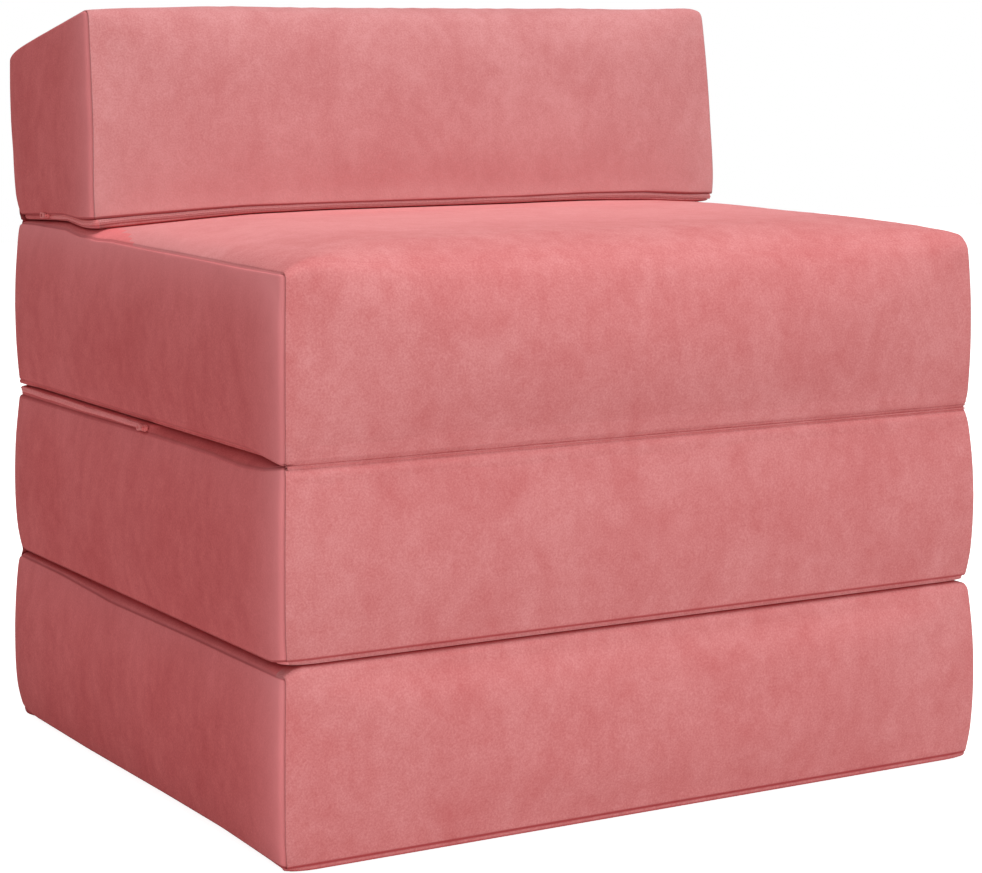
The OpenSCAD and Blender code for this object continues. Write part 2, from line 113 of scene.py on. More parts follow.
def velvet(name, look):
    material, tree = newMaterial(name)
    place = addNode(tree, "ShaderNodeTexCoord")
    upright = addNode(tree, "ShaderNodeMapping", {"Vector": (place, "Object"), "Scale": (1, 1, 0.7)})
    brushed = addNode(tree, "ShaderNodeMapping", {"Vector": (place, "Object"), "Scale": (1, 1, 0.8)})
    patches = addNode(tree, "ShaderNodeTexNoise", {"Vector": (upright, "Vector"), "Scale": 1 / look["patch"],
                                                   "Detail": 3, "Roughness": 0.55, "Distortion": 0.6})
    streaks = addNode(tree, "ShaderNodeTexNoise", {"Vector": (brushed, "Vector"), "Scale": 1 / look["streak"],
                                                   "Detail": 2, "Roughness": 0.5})
    grain = addNode(tree, "ShaderNodeTexNoise", {"Vector": (place, "Object"), "Scale": 1 / look["grain"],
                                                 "Detail": 2, "Roughness": 0.6})
    leaning = addNode(tree, "ShaderNodeMix", {"Factor": look["shares"][0], "A": (patches, "Fac"),
                                              "B": (streaks, "Fac")})
    mottled = addNode(tree, "ShaderNodeMix", {"Factor": look["shares"][1], "A": (leaning, "Result"),
                                              "B": (grain, "Fac")})
    ramp = addNode(tree, "ShaderNodeValToRGB", {"Fac": (mottled, "Result")})
    for element, position, tone in zip(ramp.color_ramp.elements, look["tones"], ("deep", "light")):
        element.position = position
        element.color = linear(look[tone])
    middle = ramp.color_ramp.elements.new(0.5)
    middle.color = linear(look["middle"])
    # painted highlight: the colour turns lighter where light falls along the panels' edges
    turned = addNode(tree, "ShaderNodeAttribute", attribute_name="napTurned")
    lighter = addNode(tree, "ShaderNodeMix", {"Factor": (turned, "Fac"), "A": (ramp, "Color"),
                                              "B": linear(look["turned"])}, data_type="RGBA")
    # painted shade: in the gaps between the cushions, where pile faces pile, the colour goes to a deeper red
    openness = addNode(tree, "ShaderNodeAmbientOcclusion", {"Distance": look["fold"]}, samples=8)
    closed = addNode(tree, "ShaderNodeMapRange", {"Value": (openness, "AO"), "From Min": look["closed"][0],
                                                  "From Max": look["closed"][1], "To Min": look["gapShadeShare"],
                                                  "To Max": 0.0})
    gapShaded = addNode(tree, "ShaderNodeMix", {"Factor": (closed, "Result"), "A": (lighter, "Result"),
                                             "B": linear(look["gapShade"])}, data_type="RGBA")
    # seams are dark joints, drawn darker at a block's foot as painted shade
    seam = addNode(tree, "ShaderNodeAttribute", attribute_name="seamDepth")
    colour = addNode(tree, "ShaderNodeMix", {"Factor": (seam, "Fac"), "A": (gapShaded, "Result"),
                                             "B": linear(look["seam"])}, data_type="RGBA")
    bump = addNode(tree, "ShaderNodeBump", {"Height": (grain, "Fac"), "Strength": 0.35, "Distance": 0.0006})
    shader = addNode(tree, "ShaderNodeBsdfPrincipled", {"Base Color": (colour, "Result"), "Roughness": 0.9,
                                                        "IOR": 1.45, "Specular IOR Level": 0.25,
                                                        "Sheen Weight": look["sheen"], "Sheen Roughness": 0.45,
                                                        "Sheen Tint": linear("#F6C9C7"),
                                                        "Normal": (bump, "Normal")})
    addNode(tree, "ShaderNodeOutputMaterial", {"Surface": (shader, "BSDF")})
    return material


velvetAlong = velvet("polyesterVelvet", velvetLook)
# The backrest takes a paler copy of the velvet, painted light on its front; the side panels take a deeper, redder copy,
# painted shade
velvetLitBack = velvet("polyesterVelvetLitBack", {**velvetLook, "light": "#D39191", "middle": "#CA8383",
                                                    "deep": "#C17575", "turned": "#DC9C9C", "seam": "#9C484A"})
velvetShadedSides = velvet("polyesterVelvetShadedSides", {**velvetLook, "light": "#E67677", "middle": "#DB6869",
                                                "deep": "#D05A5B", "turned": "#F89497"})


# Nylon zip: a woven tape and a dyed coil, smoother and paler than the velvet
nylonLook = {
    "walls": ("#B87474", "#C68484"),
    "sides": ("#EA7A7A", "#F68E8E"),    # painted light: brighter along the sides, which lie in shade, than on the walls
    "tones": (0.3, 0.7),
    "weave": 900,        # threads to a metre, fewer than the real ones so that they show
}


def zipNylon():
    material, tree = newMaterial("nylonZip")
    place = addNode(tree, "ShaderNodeTexCoord")
    weave = addNode(tree, "ShaderNodeTexNoise", {"Vector": (place, "Object"), "Scale": nylonLook["weave"], "Detail": 1})
    ramps = []
    for tones in (nylonLook["walls"], nylonLook["sides"]):
        ramps.append(addNode(tree, "ShaderNodeValToRGB", {"Fac": (weave, "Fac")}))
        for element, position, tone in zip(ramps[-1].color_ramp.elements, nylonLook["tones"], tones):
            element.position = position
            element.color = linear(tone)
    # painted light: the tape takes the brighter tones along a block's sides
    along = addNode(tree, "ShaderNodeAttribute", attribute_name="alongSide")
    colour = addNode(tree, "ShaderNodeMix", {"Factor": (along, "Fac"), "A": (ramps[0], "Color"),
                                             "B": (ramps[1], "Color")}, data_type="RGBA")
    bump = addNode(tree, "ShaderNodeBump", {"Height": (weave, "Fac"), "Strength": 0.2, "Distance": 0.0003})
    shader = addNode(tree, "ShaderNodeBsdfPrincipled", {"Base Color": (colour, "Result"), "Roughness": 0.6,
                                                        "IOR": 1.53, "Specular IOR Level": 0.2,
                                                        "Normal": (bump, "Normal")})
    addNode(tree, "ShaderNodeOutputMaterial", {"Surface": (shader, "BSDF")})
    return material


# Sprayed die-cast zinc: satin paint in the velvet's pink
def zipPaint():
    material, tree = newMaterial("sprayedZinc")
    place = addNode(tree, "ShaderNodeTexCoord")
    peel = addNode(tree, "ShaderNodeTexNoise", {"Vector": (place, "Object"), "Scale": 1400, "Detail": 2})    # 0.7 mm
    ramp = addNode(tree, "ShaderNodeValToRGB", {"Fac": (peel, "Fac")})
    ramp.color_ramp.elements[0].color = linear("#DE7272")
    ramp.color_ramp.elements[1].color = linear("#EC8685")
    bump = addNode(tree, "ShaderNodeBump", {"Height": (peel, "Fac"), "Strength": 0.1, "Distance": 0.0002})
    shader = addNode(tree, "ShaderNodeBsdfPrincipled", {"Base Color": (ramp, "Color"), "Roughness": 0.55,
                                                        "IOR": 1.5, "Specular IOR Level": 0.15,
                                                        "Normal": (bump, "Normal")})
    addNode(tree, "ShaderNodeOutputMaterial", {"Surface": (shader, "BSDF")})
    return material


nylonZip = zipNylon()
sprayedZinc = zipPaint()
print("materials made")


# Distances from a seam at which the cover's mesh has rows, in metres
nearSeam = [0, 0.0013, 0.0019, 0.0027, 0.0038, 0.006, 0.010, 0.016, 0.023]
meshStep = 0.0115
touching = 1e-7      # within this a point lies on an edge
mergeScale = 5e5     # points less than two micrometres apart become one
highlightReach = 0.028     # over this the painted highlight fades


def stations(length):
    edge = np.array(nearSeam)
    count = max(2, round((length - 2 * edge[-1]) / meshStep))
    return np.concatenate([edge[:-1], np.linspace(edge[-1], length - edge[-1], count + 1), length - edge[-2::-1]])


def hump(share):
    return 4 * share * (1 - share)


def ease(value, low, high):
    share = np.clip((value - low) / (high - low), 0, 1)
    return share * share * (3 - 2 * share)


seamRoll = 0.0026    # radius at which a panel rolls into its seam
seamGroove = 0.0004  # how much deeper the stitches pull it
rollDepth = 0.29     # depth of a roll of 45 degrees, in radii


def roll(distance):
    inner = np.clip(seamRoll - distance, 0, seamRoll)
    rolled = seamRoll - np.sqrt(seamRoll ** 2 - inner ** 2)
    return np.where(distance < touching, rollDepth * seamRoll + seamGroove, rolled)


# How strongly a row at a distance from a seam takes its colour
def stitch(distance):
    return np.interp(distance, [0, 0.0013, 0.0019], [1, 0.45, 0])


# A side panel rolls more softly into its front seam
def cornerRoll(distance, radius=0.009):
    inner = np.clip(radius - distance, 0, radius)
    return np.minimum(radius - np.sqrt(radius ** 2 - inner ** 2), rollDepth * radius)


# Share by which a lower corner draws in, across and back, at distances from the side and from the wall
def cornerDraw(toSide, toWall):
    wide = [np.clip(1 - distance / 0.024, 0, 1) ** 2 for distance in (toSide, toWall)]
    short = [np.clip(1 - distance / 0.014, 0, 1) ** 2 for distance in (toSide, toWall)]
    return wide[1] * short[0], wide[0] * short[1]


# Rows of a band under a seam: share of the way in, and share of its height
bandRows = [(0.60, 0.93), (0.38, 0.80), (0.30, 0.62), (0.36, 0.42), (0.60, 0.24), (1.0, 0.11), (1.7, 0.04), (3.0, 0)]
bandIn = 0.0020      # the way in, in metres

# Every block's own place: x across, y to the rear, z up from its floor, in metres
blockCut = {
    "halfWide": 0.325, "deep": 0.555, "tall": 0.150,
    "crownFront": 0.005, "crownRear": 0.003, "bow": 0.003, "crownSide": 0.0042,
    "roundRear": 0.005, "crownEdge": 0.15, "crownShape": lambda back: hump(back) ** 0.8,
    "cornerIn": (0.003, 0.0015),     # how far the lower corners draw in, left and right
    "topHighlight": 0.2,                   # how strong the painted highlight is along a side panel's top
    "footHighlight": 0,                     # and along a front panel's foot
    "crownHighlight": 0,                   # and over the rear of the top
    "stitchesAndShade": (1.3, 0.1, 0.5),     # how dark the lower, the upright and the top seams are drawn: dark joints, with painted shade added at the lower ones
    "shoulder": lambda back: 0.018 + 0 * back,    # how far from a side seam its drop reaches
    "sag": lambda left, s: 0 * left,     # how far the lower seam is lowered
    "hang": lambda left, s: 0 * left,    # and the bottom further than the seam
    "topHidden": lambda x, back: 0 * x,  # how far the upper band is rolled under
    "shadedStrip": lambda back: 0 * back,  # how far the side's deeper velvet, painted shade, goes on past the left top seam
    "stripHighlight": 0,                       # how strong the painted highlight is there
    "tuck": (0.005, 0.005),          # how much further the bottom panel rolls in at the left and right
    "hidden": (0, 0),                # how far a side's lower band is rolled under, left and right
}


def outlineOf(cut):
    if "corners" in cut:
        return [np.array(corner) for corner in cut["corners"]]
    back, low, high = cut["deep"] / 2, cut["band"], cut["tall"] - cut.get("topBand", 0)
    return [np.array(p) for p in [(-back, low), (-back, high), (back, high), (back, low)]]


def leftOf(step):
    return np.array([-step[1], step[0]]) / np.hypot(*step)


def placeCover(cut, x, s, v):
    frontLow, frontTop, rearTop, rearLow = outlineOf(cut)
    wide, deep, tall = 2 * cut["halfWide"], np.hypot(*(rearLow - frontLow)), np.hypot(*(frontTop - frontLow))
    normalFront, normalTop = leftOf(frontTop - frontLow), leftOf(rearTop - frontTop)
    normalRear = leftOf(rearLow - rearTop)
    closedTop = "topBand" in cut
    across, back, up = x / cut["halfWide"] - 1, s / deep, v / tall
    left, right, front, rear, low, top = x, wide - x, s, deep - s, v, tall - v
    side = np.minimum(left, right)
    yz = ((1 - back) * (1 - up))[:, None] * frontLow + ((1 - back) * up)[:, None] * frontTop \
        + (back * up)[:, None] * rearTop + (back * (1 - up))[:, None] * rearLow
    # crowns of the faces and bow of the seams
    yz += normalFront * (cut["crownFront"] * hump(up) * (1 - back) ** 2)[:, None]
    yz += normalRear * (cut["crownRear"] * hump(up) * back ** 2)[:, None]
    edge = cut["crownEdge"]
    swell = cut.get("crownTop", 0) * cut["crownShape"](back) * (edge + (1 - edge) * (1 - across ** 10))
    if "pressed" in cut:
        swell = cut["pressed"](x - cut["halfWide"], yz[:, 0], swell)
    yz += normalTop * (swell * up ** 2)[:, None]
    xOut = across * cut["halfWide"] + np.sign(across) * cut["bow"] * hump(up) * np.abs(across) ** 1.5
    xOut += np.sign(across) * np.abs(across) * cut["sideOut"](across > 0, up, back)
    if "edgeRise" in cut:
        yz += normalTop * (cut["edgeRise"](across) * up ** 2 * (1 - back) ** 1.5)[:, None]
    onSide = side < touching
    # a side panel turns early toward the front and later toward the rear
    fullness = (1 - np.clip(1 - front / 0.075, 0, 1) ** 2) * (1 - np.clip(1 - rear / 0.05, 0, 1) ** 3)
    dome = cut["crownSide"] * (1 - np.abs(2 * up - 1) ** 2.2) * fullness
    xOut += np.where(onSide, np.sign(across) * (dome - cornerRoll(front)), 0)
    # the lower corners draw in
    drawX, drawY = cornerDraw(side, np.minimum(front, rear))
    draw = np.where(across < 0, *cut["cornerIn"]) * np.clip(1 - v / 0.030, 0, 1) ** 2
    xOut -= np.sign(across) * draw * drawX
    yz[:, 0] += np.where(front < rear, 1, -1) * draw * drawY
    yz[:, 1] -= cut["sag"](left, s) * np.clip(1 - up / 0.5, 0, 1) ** 2
    # the side seams lie lower than the top, and the lower edge may lift
    drop = np.where(left < right, cut["dropLeft"](back), cut["dropRight"](back))
    lift = np.where(left < right, cut["liftLeft"](back), cut["liftRight"](back))
    shoulder = np.clip(1 - side / cut["shoulder"](back), 0, 1) ** 2
    yz[:, 1] += lift * np.clip(1 - up / 0.5, 0, 1) ** 2 * shoulder - drop * ease(up, 0.35, 1) * shoulder
    # rounded edges that have no seam
    stripNormal = np.where((front < touching)[:, None], normalFront,
                           np.where((rear < touching)[:, None], normalRear, normalTop))
    roundEdges = [(front, normalFront, cut["roundFront"](across)), (rear, normalRear, cut["roundRear"] + 0 * x)]
    for toEdge, faceNormal, radius in [] if closedTop else roundEdges:
        def arc(e):
            turn = np.radians(45) * np.clip(1 - e / radius, 0, 1)
            inside = e < radius
            sunk = np.where(inside, radius * (np.cos(turn) - 1), 0)
            return sunk, np.where(inside, radius * np.sin(turn) - radius + e, 0), turn

        ownA, otherA, turnA = arc(top)       # a point of the upright face
        ownB, otherB, turnB = arc(toEdge)    # a point of the top
        corner = radius * (np.cos(np.radians(45)) - 1)
        near, high = np.clip(1 - toEdge / radius, 0, 1), np.clip(1 - top / radius, 0, 1)
        yz += faceNormal * (near * ownA + high * otherB - near * high * corner)[:, None]
        yz += normalTop * (near * otherA + high * ownB - near * high * corner)[:, None]
        onFace, onTop = toEdge < touching, (top < touching) & (toEdge < radius)
        turned = np.where(onFace, turnA, np.radians(90) - turnB)
        tilted = np.cos(turned)[:, None] * faceNormal + np.sin(turned)[:, None] * normalTop
        stripNormal = np.where((onFace | onTop)[:, None], tilted, stripNormal)
    # soft valleys where a face goes on into the next block
    for key, toFold in (("tuckLow", low), ("tuckTop", top)):
        if key in cut:
            valley = np.clip(1 - toFold / 0.011, 0, 1) ** 2 * np.clip(1 - front / 0.014, 0, 1) ** 2
            yz -= normalFront * (cut[key] * valley)[:, None]
    # panels roll into their seams
    wall = (front < touching) | (rear < touching)
    onStrip = wall | ((top < touching) & (not closedTop))
    toStripSeam = np.minimum(side, np.where(wall, low, 1))
    toSideSeam = np.minimum(np.minimum(front, rear), np.minimum(low, top))
    if closedTop:
        toStripSeam = np.minimum(toStripSeam, np.where(wall, top, 1))
    yz -= stripNormal * np.where(onStrip, roll(toStripSeam), 0)[:, None]
    xOut -= np.where(onSide, np.sign(across) * roll(toSideSeam), 0)
    toSeam = np.minimum(np.where(onStrip, toStripSeam, 1), np.where(onSide, toSideSeam, 1))
    # painted highlight along a side panel's front and top, a front panel's foot and the top's crown
    turned = np.exp(-front / highlightReach) + cut["topHighlight"] * np.exp(-top / highlightReach)
    crown = cut["crownHighlight"] * (top < touching) * ease(front, 0.02, 0.20) * (1 - 0.8 * ease(across, 0.5, 1))
    turned = np.where(onSide, turned, np.where(front < touching, cut["footHighlight"] * np.exp(-low / 0.040), crown))
    lowStitch, cornerStitch, topStitch = cut["stitchesAndShade"]
    stitched = np.maximum.reduce([
        lowStitch * stitch(low) * (onSide | wall),
        cornerStitch * np.where(wall, stitch(side), stitch(np.minimum(front, rear)) * onSide),
        topStitch * np.where(onSide, stitch(top), stitch(side) * (onStrip & ~wall))])
    return np.column_stack([xOut, yz]), toSeam, np.minimum(turned, 1), np.minimum(stitched, 1)


def coverMesh(name, cut):
    frontLow, frontTop, rearTop, rearLow = outlineOf(cut)
    wide, deep, tall = 2 * cut["halfWide"], np.hypot(*(rearLow - frontLow)), np.hypot(*(frontTop - frontLow))
    xs, ss, vs = stations(wide), stations(deep), stations(tall)
    points, quads, panels, seams, turns, stitchesAndShade = [], [], [], [], [], []

    def addGrid(rows, cols, place, seam, panel, turned, stitched):
        first = sum(len(p) for p in points)
        points.append(place)
        seams.append(seam)
        turns.append(turned)
        stitchesAndShade.append(stitched)
        index = first + np.arange(rows * cols).reshape(rows, cols)
        quad = np.stack([index[:-1, :-1], index[:-1, 1:], index[1:, 1:], index[1:, :-1]], -1).reshape(-1, 4)
        quads.append(quad)
        panels.append(np.full(len(quad), panel))

    def wallGrid(x, s, v, panel):
        place, seam, turned, stitched = placeCover(cut, x.ravel(), s.ravel(), v.ravel())
        addGrid(*x.shape, place, seam, panel, turned, stitched)

    # panels: 0 along the pile, 1 the sides, in the deeper velvet that paints their shade, 2 the bands and flats
    wallX, wallV = np.meshgrid(xs, vs, indexing="ij")
    wallGrid(wallX, 0 * wallX, wallV, 0)
    wallGrid(wallX, 0 * wallX + deep, wallV, 0)
    sideS, sideV = np.meshgrid(ss, vs, indexing="ij")
    wallGrid(0 * sideS, sideS, sideV, 1)
    wallGrid(0 * sideS + wide, sideS, sideV, 1)
    topX, topS = np.meshgrid(xs, ss, indexing="ij")
    if "topBand" not in cut:
        wallGrid(topX, topS, 0 * topX + tall, 0)
        # the top's cells near the left seam take the side's velvet, as painted shade
        cells = topX < cut["shadedStrip"](topS / deep)
        panels[-1][(cells[:-1, :-1] & cells[1:, 1:]).ravel()] = 1
        turns[-1] = np.maximum(turns[-1], cut["stripHighlight"] * cells.ravel())
    # the bands: rows round the block from a seam to the flat of the bottom or top panel
    ringX = np.concatenate([xs[:-1], 0 * ss[:-1] + wide, xs[:0:-1], 0 * ss[:0:-1], [0]])
    ringS = np.concatenate([0 * xs[:-1], ss[:-1], 0 * xs[:0:-1] + deep, ss[:0:-1], [0]])
    for level, floor, height in ((0, 0, cut["band"]), (tall, cut["tall"], -cut.get("topBand", 0))):
        if level and "topBand" not in cut:
            continue
        rim, seam, _, stitched = placeCover(cut, ringX, ringS, 0 * ringX + level)
        bare = np.column_stack([ringX - cut["halfWide"], frontLow[0] + ringS])
        middleY = frontLow[0] + deep / 2
        rows, nears, sewn = [rim], [seam], [stitched]
        onSides = (ringX < touching) | (ringX > wide - touching)
        # the bands' sides take the painted highlight toward the front
        turned = np.where(onSides, np.exp(-ringS / highlightReach), 0)
        zipIn = cut["bandIn"](ringX / wide, ringS / deep, level > 0)
        tuck = np.where(bare[:, 0] < 0, *cut["tuck"])
        hide = np.where(bare[:, 0] < 0, *cut["hidden"]) * ease(np.minimum(ringS, deep - ringS), 0.003, 0.035)
        if level:
            hide = cut["topHidden"](ringX / wide, ringS / deep)

        def plan(x, s, inset, insetX, share):
            x, y = x - cut["halfWide"], frontLow[0] + s - middleY
            drawX, drawY = cornerDraw(cut["halfWide"] - np.abs(x), deep / 2 - np.abs(y))
            draw = np.where(x < 0, *cut["cornerIn"]) * share * (level == 0)
            return x * (1 - insetX / cut["halfWide"]) - np.sign(x) * draw * drawX, \
                middleY + y * (1 - inset / (deep / 2)) - np.sign(y) * draw * drawY

        def lowered(x, s):
            return (cut["sag"](x, s) + cut["hang"](x, s)) * (level == 0)

        for inward, up in bandRows:
            inset = bandIn * inward + zipIn * (up > 0.3)
            rolled = (1 - up) if level else min(1, (1 - up) / 0.4)
            under = hide * (tuck + bandIn * 3) * rolled * onSides
            insetX = np.maximum(inset + tuck * max(0, inward - 0.6) / 2.4, under)
            x, y = plan(ringX, ringS, inset, insetX, 1 + 1.2 * (1 - up))
            bottom = floor - lowered(ringX, ringS)
            rows.append(np.column_stack([x, y, bottom + (rim[:, 2] - bottom) * up]))
            nears.append(np.full(len(x), 0.001 + 0.004 * (1 - up)))
            sewn.append(np.minimum(cut["stitchesAndShade"][0] * stitch(nears[-1]), 1))
        place, seam = np.concatenate(rows), np.concatenate(nears)
        addGrid(len(rows), len(ringX), place, seam, 2, np.tile(turned, len(rows)), np.concatenate(sewn))
        panels[-1] = np.tile(np.where(onSides[:-1] & onSides[1:], 1, 2), len(rows) - 1)
        last = bandIn * bandRows[-1][0]
        xFlat, sFlat = topX.ravel(), topS.ravel()
        x, y = plan(xFlat, sFlat, last, last + np.where(xFlat < cut["halfWide"], *cut["tuck"]), 2.2)
        flat = np.column_stack([x, y, floor - lowered(xFlat, sFlat)])
        addGrid(*topX.shape, flat, 0 * x + 0.03, 2, 0 * x, 0 * x)
    allPoints, allSeams = np.concatenate(points), np.concatenate(seams)
    keys = np.round(allPoints * mergeScale).astype(np.int64)
    found, firsts, back = np.unique(keys, axis=0, return_index=True, return_inverse=True)
    back = back.ravel()
    faces, kinds = back[np.concatenate(quads)], np.concatenate(panels)
    mesh = bpy.data.meshes.new(name)
    good = [i for i, f in enumerate(faces) if len(set(f)) >= 3]
    mesh.from_pydata(allPoints[firsts].tolist(), [], [list(dict.fromkeys(faces[i].tolist())) for i in good])
    for polygon, i in zip(mesh.polygons, good):
        polygon.material_index = int(kinds[i] == 1)
        polygon.use_smooth = True
    work = bmesh.new()
    work.from_mesh(mesh)
    bmesh.ops.recalc_face_normals(work, faces=work.faces)
    work.to_mesh(mesh)
    work.free()
    near = allSeams[firsts]
    for title, values in (("seamDepth", stitchesAndShade), ("napTurned", turns)):
        values = np.concatenate(values)[firsts].astype(np.float32)
        mesh.attributes.new(title, "FLOAT", "POINT").data.foreach_set("value", values)
    cushion = bpy.data.objects.new(name, mesh)
    bpy.context.scene.collection.objects.link(cushion)
    return cushion, near


def verticesOf(mesh):
    place = np.zeros(len(mesh.vertices) * 3)
    mesh.vertices.foreach_get("co", place)
    return place.reshape(-1, 3)


# Small unevenness of a sewn cover: puckers that run off the seams and slow hollows between
def pucker(cushion, near, cut):
    mesh = cushion.data
    place = verticesOf(mesh)
    normals = np.zeros(len(mesh.vertices) * 3)
    mesh.vertices.foreach_get("normal", normals)
    normals = normals.reshape(-1, 3)
    shift = Vector(cut["seed"])
    moved = place.copy()
    for i, (point, normal) in enumerate(zip(place, normals)):
        p = Vector(point)
        tight = math.exp(-((near[i] - 0.012) / 0.014) ** 2) * min(1, near[i] / 0.003)
        fine = noise.noise(p * 42 + shift) * 0.0007 * tight
        slow = noise.noise(p * 9 - shift) * 0.0013 * min(1, near[i] / 0.03)
        moved[i] += normal * (fine + slow) * cut["loose"](point)
    mesh.vertices.foreach_set("co", moved.ravel())
    mesh.update()


# The cover is blown up as cloth, held at its seams, and the movement goes to the fine mesh
clothSettings = {
    "voxel": 0.008, "pressure": 4, "frames": 20,
    "cap": 0.005,          # the furthest that a point may go, in metres
    "seamHold": 0.012,     # held within this of a seam
    "seamFade": 0.025,     # and quite free only beyond this
}


def blowUp(cushion, near, cut):
    scene = bpy.context.scene
    coarse = cushion.copy()
    coarse.data = cushion.data.copy()
    scene.collection.objects.link(coarse)
    bpy.ops.object.select_all(action="DESELECT")
    bpy.context.view_layer.objects.active = coarse
    coarse.select_set(True)
    coarse.data.remesh_voxel_size = clothSettings["voxel"]
    bpy.ops.object.voxel_remesh()
    fine = verticesOf(cushion.data)
    tree = KDTree(len(fine))
    for i, point in enumerate(fine):
        tree.insert(point, i)
    tree.balance()
    rest = verticesOf(coarse.data)
    held = coarse.vertex_groups.new(name="held")
    for i, point in enumerate(rest):
        distance = near[tree.find(point)[1]]
        if distance < clothSettings["seamHold"]:
            held.add([i], 1.0, "REPLACE")
    cloth = coarse.modifiers.new("cloth", "CLOTH")
    cloth.settings.quality = 5
    cloth.settings.mass = 0.3
    cloth.settings.tension_stiffness = 15
    cloth.settings.compression_stiffness = 15
    cloth.settings.bending_stiffness = 0.5
    cloth.settings.use_pressure = True
    cloth.settings.uniform_pressure_force = clothSettings["pressure"]
    cloth.settings.effector_weights.gravity = 0
    cloth.settings.vertex_group_mass = "held"
    cloth.point_cache.frame_start = 1
    cloth.point_cache.frame_end = clothSettings["frames"]
    for number in range(1, clothSettings["frames"] + 1):
        scene.frame_set(number)
    blown = coarse.evaluated_get(bpy.context.evaluated_depsgraph_get())
    step = verticesOf(blown.data) - rest
    scene.frame_set(1)
    tree = KDTree(len(rest))
    for i, point in enumerate(rest):
        tree.insert(point, i)
    tree.balance()
    moved = fine.copy()
    for i, point in enumerate(fine):
        found = tree.find_n(point, 5)
        weights = np.array([1 / (distance + 1e-4) for _, _, distance in found])
        shift = (weights[:, None] * step[[j for _, j, _ in found]]).sum(0) / weights.sum()
        size = np.linalg.norm(shift)
        shift *= min(1, clothSettings["cap"] / max(size, 1e-9))
        moved[i] += shift * min(1, near[i] / clothSettings["seamFade"]) * cut["loose"](point)
    cushion.data.vertices.foreach_set("co", moved.ravel())
    cushion.data.update()
    bpy.data.objects.remove(coarse)
    print(cushion.name, "blown up, largest step", round(float(np.abs(step).max()), 4))


def noLift(back):
    return 0 * back


# How much deeper a band lies, round the block: behind a zip, or where a crease hides it
def bandDepth(zips=(), creases=()):
    def deeper(x, back, atTop):
        depth = 0 * x
        for level, toward, start, leftToo in zips:      # toward 1 is the rear wall, -1 the front
            share = back if toward > 0 else 1 - back
            reach = ease(share, start - 0.005, start + 0.005) * (leftToo | (x > touching))
            depth = np.maximum(depth, 0.0017 * reach * (level == atTop))
        for level, wall, size in creases:
            depth = np.maximum(depth, size * (1 - ease(np.abs(back - wall), 0, 0.05)) * (level == atTop))
        return depth
    return deeper


def noChange(isRight, up, back):
    return 0 * up


def makeCushion(name, cut, body, place, nodes):
    cushion, near = coverMesh(name, cut)
    blowUp(cushion, near, cut)
    pucker(cushion, near, cut)
    cushion.data.transform(place)
    cushion.data.materials.append(cut.get("velvet", velvetAlong))
    cushion.data.materials.append(velvetShadedSides)
    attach(cushion, body)
    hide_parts(*nodes)
    print(name, "made,", len(cushion.data.polygons), "faces")


def panelNodes(block, *panels):
    common = ("foam", "left_panel", "right_panel", "rear_panel", "bottom_panel")
    return [f"{block}_{panel}" for panel in (*common, *panels)]


# Where the blocks stand, in metres
middleFloor, seatFloor, seatTop = 0.1506, 0.3012, 0.4512
halfDeep = blockCut["deep"] / 2
rearFold = 0.2815      # y of the two rear fold lines
zipRun = 0.295         # length of a block's zip along each side
footWide, footDeep, footZip = 0.646, 0.184, 0.111     # the backrest's foot, and its zip along each side


# A resting face stays flat; the walls are free
def freeWalls(low, high):
    def loose(point):
        return float(min(1, max(0, min(point[2] - low, high - point[2]) / 0.02)))
    return loose


zipStart = (blockCut["deep"] - zipRun) / blockCut["deep"]    # where the blocks' zips begin, as a share of the depth

baseCut = {
    **blockCut, "band": 0.0045, "crownTop": 0, "roundRear": 0.009, "seed": (3.1, 0.4, 7.7),
    "roundFront": lambda across: 0.0055 + 0.002 * (1 - across ** 4), "edgeRise": lambda across: 0.0016 + 0 * across,
    "tuck": (0.013, 0.005), "hidden": (1, 0), "cornerIn": (0.003, 0.0014), "topHighlight": 0.3,
    "shadedStrip": lambda back: 0.013 * (back > 0.022), "stripHighlight": 0.25, "stitchesAndShade": (1.7, 0.1, 0.5),
    "dropLeft": lambda back: np.interp(back, [0, 0.3, 0.6, 0.8, 1], [0.0075, 0.007, 0.0085, 0.0045, 0.0037]),
    "dropRight": lambda back: 0.003 + 0 * back,
    "liftLeft": lambda back: np.interp(back, [0, 0.05, 0.2, 0.4, 0.7, 0.93, 1],
                                       [-0.001, 0.0005, 0.0028, 0.0025, 0.0008, 0.001, 0.005]),
    "liftRight": noLift,
    "sideOut": noChange,
    "bandIn": bandDepth(zips=[(False, 1, zipStart, False)]),
    "loose": freeWalls(0, blockCut["tall"]),
}
makeCushion("baseCushion", baseCut, "base_block", Matrix.Identity(4), panelNodes("base", "wrap_panel"))

